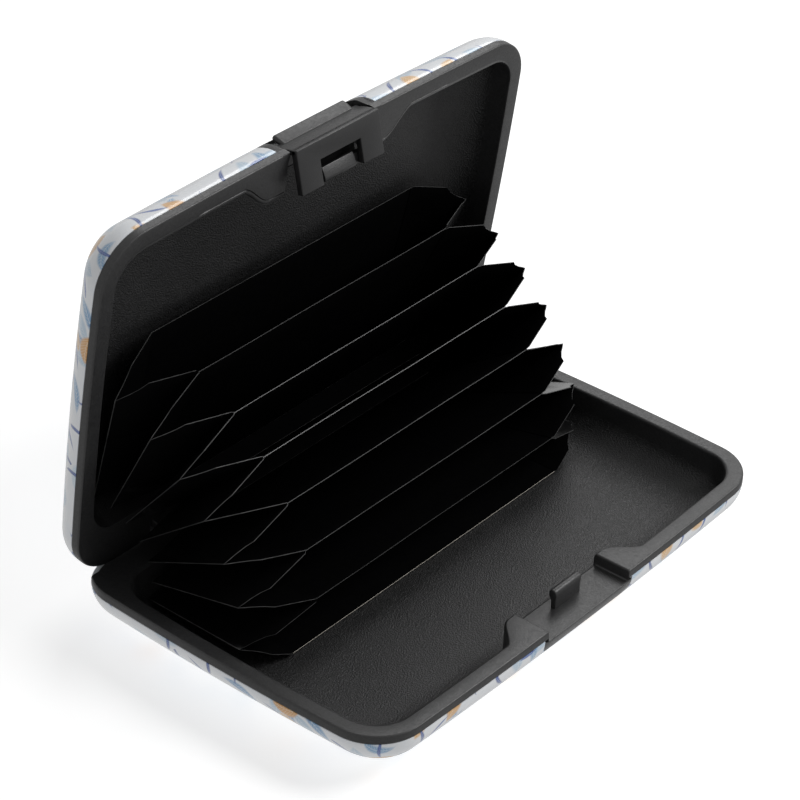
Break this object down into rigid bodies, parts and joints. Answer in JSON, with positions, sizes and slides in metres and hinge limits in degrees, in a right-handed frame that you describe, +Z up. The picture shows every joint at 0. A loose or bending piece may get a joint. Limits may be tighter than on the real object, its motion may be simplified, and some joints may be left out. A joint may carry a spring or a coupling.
{
  "type": "card case",
  "caption": "Rigid pocket card case with two pillow-shaped halves on a back hinge, a fan of film pockets between them and a sprung front latch.",
  "frame": {"origin": "centre of the base's flat underside, on the surface the case stands on", "axes": "+X along the hinge, -Y from the hinge towards the catch, +Z up from the base"},
  "size_m": [0.108, 0.0775, 0.0788],
  "materials": {
    "printed_skin": "pressed aluminium under a glossy white print with blue leaves and orange blossoms",
    "frame_plastic": "satin black moulded plastic, tray floors with a fine pebble grain",
    "latch_plastic": "smooth satin black moulded plastic",
    "film": "glossy black folded plastic film with pale cut edges",
    "pin_steel": "plain steel wire",
    "tape": "double-sided adhesive tape"
  },
  "bodies": {
    "base": {"base_skin": "printed_skin", "base_frame": "frame_plastic", "hinge_pin_left": "pin_steel", "hinge_pin_right": "pin_steel", "tape_base": "tape", "leaf_8": "film", "pleat_7": "film"},
    "lid": {"lid_skin": "printed_skin", "lid_frame": "frame_plastic", "latch_pin": "pin_steel", "latch_spring": "pin_steel", "tape_lid": "tape", "leaf_1": "film"},
    "latch": {"latch": "latch_plastic"},
    "leaf_2": {"leaf_2": "film", "pleat_1": "film"},
    "leaf_3": {"leaf_3": "film", "pleat_2": "film"},
    "leaf_4": {"leaf_4": "film", "pleat_3": "film"},
    "leaf_5": {"leaf_5": "film", "pleat_4": "film"},
    "leaf_6": {"leaf_6": "film", "pleat_5": "film"},
    "leaf_7": {"leaf_7": "film", "pleat_6": "film"}
  },
  "joints": [
    {"name": "lid_hinge", "type": "hinge", "parent": "base", "child": "lid", "pos_m": [0, 0.03366, 0.0102], "axis": [1, 0, 0], "range_deg": [0, 81.8], "deforming": ["pleat_7", "latch_spring"]},
    {"name": "latch_turn", "type": "hinge", "parent": "lid", "child": "latch", "pos_m": [0, 0.02737, 0.07664], "axis": [1, 0, 0], "range_deg": [0, 18.6]},
    {"name": "leaf_2_turn", "type": "hinge", "parent": "lid", "child": "leaf_2", "pos_m": [0, 0.03366, 0.0102], "axis": [1, 0, 0], "range_deg": [-11.7, 0], "deforming": ["pleat_1"]},
    {"name": "leaf_3_turn", "type": "hinge", "parent": "leaf_2", "child": "leaf_3", "pos_m": [0, 0.03366, 0.0102], "axis": [1, 0, 0], "range_deg": [-11.7, 0], "deforming": ["pleat_2"]},
    {"name": "leaf_4_turn", "type": "hinge", "parent": "leaf_3", "child": "leaf_4", "pos_m": [0, 0.03366, 0.0102], "axis": [1, 0, 0], "range_deg": [-11.7, 0], "deforming": ["pleat_3"]},
    {"name": "leaf_5_turn", "type": "hinge", "parent": "leaf_4", "child": "leaf_5", "pos_m": [0, 0.03366, 0.0102], "axis": [1, 0, 0], "range_deg": [-11.7, 0], "deforming": ["pleat_4"]},
    {"name": "leaf_6_turn", "type": "hinge", "parent": "leaf_5", "child": "leaf_6", "pos_m": [0, 0.03366, 0.0102], "axis": [1, 0, 0], "range_deg": [-11.7, 0], "deforming": ["pleat_5"]},
    {"name": "leaf_7_turn", "type": "hinge", "parent": "leaf_6", "child": "leaf_7", "pos_m": [0, 0.03366, 0.0102], "axis": [1, 0, 0], "range_deg": [-11.7, 0], "deforming": ["pleat_6"]}
  ],
  "couplings": [
    {"joint": "latch_turn", "follows": "lid_hinge", "ratio": 0.226},
    {"joint": "leaf_2_turn", "follows": "lid_hinge", "ratio": -0.14286},
    {"joint": "leaf_3_turn", "follows": "lid_hinge", "ratio": -0.14286},
    {"joint": "leaf_4_turn", "follows": "lid_hinge", "ratio": -0.14286},
    {"joint": "leaf_5_turn", "follows": "lid_hinge", "ratio": -0.14286},
    {"joint": "leaf_6_turn", "follows": "lid_hinge", "ratio": -0.14286},
    {"joint": "leaf_7_turn", "follows": "lid_hinge", "ratio": -0.14286}
  ]
}
